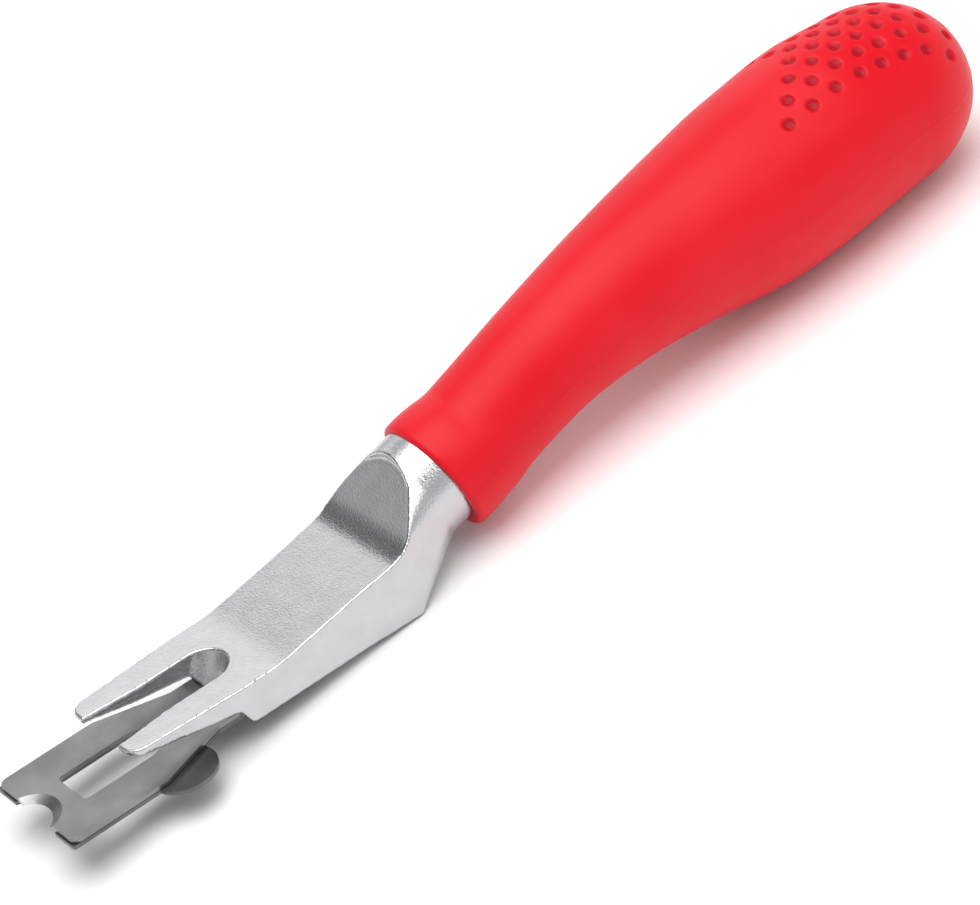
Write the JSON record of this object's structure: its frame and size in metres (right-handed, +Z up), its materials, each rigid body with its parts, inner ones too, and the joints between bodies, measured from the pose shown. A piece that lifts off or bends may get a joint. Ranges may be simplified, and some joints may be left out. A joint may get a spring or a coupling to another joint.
{
  "type": "seam ripper",
  "caption": "Hand trimming knife for welded floor seams: forked metal head, half-moon notched blade, swing-away distance plate and soft bulbous grip.",
  "frame": {"origin": "centre of the bounding box at the surface the knife lies on", "axes": "+X from the cutting edge to the butt of the grip, +Y away from the thumb tab, +Z up as the knife lies on its heel and belly"},
  "size_m": [0.2108, 0.0346, 0.0348],
  "materials": {
    "nickel": "satin nickel-plated zinc casting",
    "blade_steel": "fine ground",
    "plate_steel": "dull ground",
    "small_steel": "bright",
    "spring_steel": "tempered",
    "core_plastic": "moulded",
    "grip_red": "semi-gloss soft plastic"
  },
  "bodies": {
    "handle": {"head_casting": "nickel", "pivot_rivet": "small_steel", "guide_bush": "small_steel", "detent_spring_left": "spring_steel", "detent_spring_right": "spring_steel", "spring_pin_left": "small_steel", "spring_pin_right": "small_steel", "tang_pin_front": "small_steel", "tang_pin_rear": "small_steel", "grip_core": "core_plastic", "grip_skin": "grip_red"},
    "blade": {"blade": "blade_steel"},
    "distance_plate": {"distance_plate": "plate_steel"}
  },
  "joints": [
    {"name": "plate_swing", "type": "hinge", "parent": "handle", "child": "distance_plate", "pos_m": [-0.04827, 0, 0.0013], "axis": [0.1247, 0, 0.9922], "range_deg": [0, 80]},
    {"name": "blade_slide", "type": "slide", "parent": "handle", "child": "blade", "axis": [-0.9922, 0, 0.1247], "range_m": [0, 0.03], "deforming": ["detent_spring_left", "detent_spring_right"]}
  ]
}
